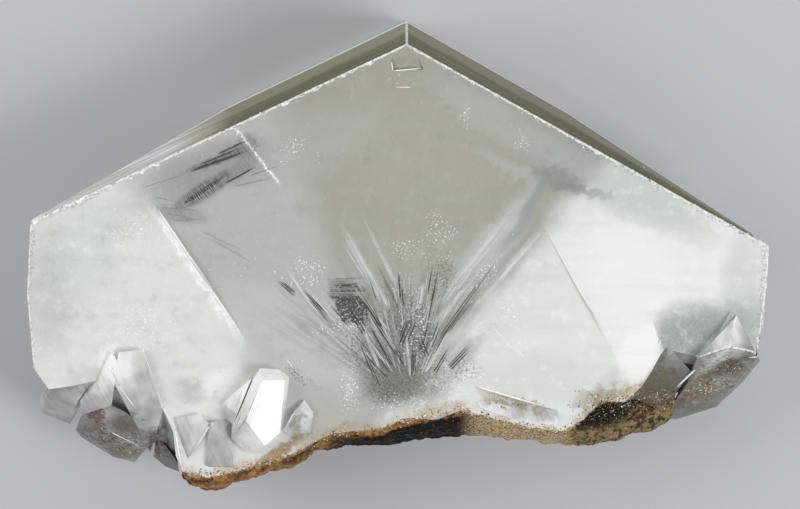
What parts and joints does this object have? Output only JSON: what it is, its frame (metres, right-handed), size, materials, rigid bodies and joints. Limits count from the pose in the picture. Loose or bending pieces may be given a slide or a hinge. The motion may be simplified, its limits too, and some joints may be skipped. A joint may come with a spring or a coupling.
{
  "type": "calcite twin crystal specimen",
  "caption": "Tabular calcite twin with milky wings, small crystals along its foot and an iron-stained rock rind on its broken base, lying on its back.",
  "frame": {"origin": "middle of the bounding box in X and Y, on the surface that the back face rests on", "axes": "+Z out of the large front face, which looks up; +Y towards the twin's apex; +X along its width, to the right as seen from the front"},
  "size_m": [0.093, 0.059, 0.0241],
  "materials": {
    "milky_calcite": "milky to clear crystal, bright on its flat faces",
    "iron_stained_rock": "rough, orange-brown to black"
  },
  "bodies": {
    "root": {"calcite_twin": "milky_calcite", "matrix_rind": "iron_stained_rock"}
  },
  "joints": []
}
